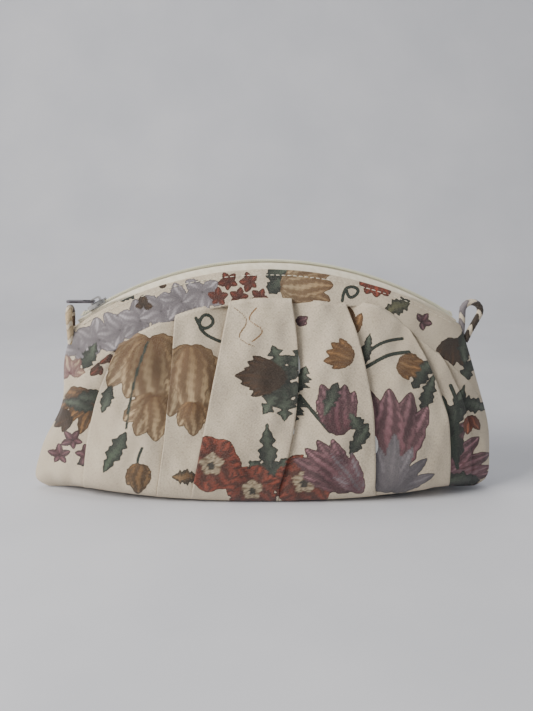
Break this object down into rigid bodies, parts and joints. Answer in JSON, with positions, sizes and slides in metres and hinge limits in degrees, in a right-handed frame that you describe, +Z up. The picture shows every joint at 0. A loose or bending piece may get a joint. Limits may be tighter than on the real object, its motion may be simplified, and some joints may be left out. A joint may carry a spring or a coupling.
{
  "type": "zippered pouch",
  "caption": "Pleated cloth clutch pouch with a curved yoke, an arched coil zip that opens the mouth, a metal slider with a pull tab, and a strap loop at each end of the zip.",
  "frame": {"origin": "middle of the base, on the surface that the pouch stands on", "axes": "+Z up, +X along the pouch towards the end where the zip finishes opening, -Y the front"},
  "size_m": [0.2692, 0.0594, 0.1359],
  "materials": {
    "printed_canvas": "flower print on a coarse basket weave",
    "wadding": "soft needled wadding",
    "lining_cloth": "plain fine cotton",
    "zip_tape": "herringbone woven tape",
    "zip_coil": "satin nylon",
    "thread": "twisted sewing thread",
    "nickel": "polished nickel plate",
    "spring_steel": "bright strip"
  },
  "bodies": {
    "root": {"front_panel": "printed_canvas", "back_panel": "printed_canvas", "front_yoke_tails": "printed_canvas", "back_yoke_tails": "printed_canvas", "front_wadding": "wadding", "back_wadding": "wadding", "front_lining": "lining_cloth", "back_lining": "lining_cloth", "left_bar_tack": "thread", "right_bar_tack": "thread", "left_loop": "printed_canvas", "right_loop": "printed_canvas"},
    "front_mouth": {"front_yoke": "printed_canvas", "front_lining_top": "lining_cloth", "front_tape": "zip_tape", "front_coil": "zip_coil", "front_topstitch": "thread"},
    "back_mouth": {"back_yoke": "printed_canvas", "back_lining_top": "lining_cloth", "back_tape": "zip_tape", "back_coil": "zip_coil", "back_topstitch": "thread"},
    "slider": {"slider_body": "nickel", "slider_bridge": "nickel", "lock_spring": "spring_steel"},
    "tab": {"pull_tab": "nickel"}
  },
  "joints": [
    {"name": "slider_travel", "type": "hinge", "parent": "root", "child": "slider", "pos_m": [0.003, 0, -0.06], "axis": [0, 1, 0], "range_deg": [0, 60]},
    {"name": "front_mouth_fold", "type": "hinge", "parent": "root", "child": "front_mouth", "pos_m": [0.003, -0.01275, 0.116], "axis": [1, 0, 0], "range_deg": [0, 60], "deforming": ["front_tape", "front_coil", "front_topstitch"]},
    {"name": "back_mouth_fold", "type": "hinge", "parent": "root", "child": "back_mouth", "pos_m": [0.003, 0.01275, 0.116], "axis": [-1, 0, 0], "range_deg": [0, 60], "deforming": ["back_tape", "back_coil", "back_topstitch"]},
    {"name": "pull_tab_swing", "type": "hinge", "parent": "slider", "child": "tab", "pos_m": [-0.09642, 0, 0.11158], "axis": [0, 1, 0], "range_deg": [0, 112]}
  ],
  "couplings": [
    {"joint": "front_mouth_fold", "follows": "slider_travel", "ratio": 1},
    {"joint": "back_mouth_fold", "follows": "slider_travel", "ratio": 1}
  ]
}
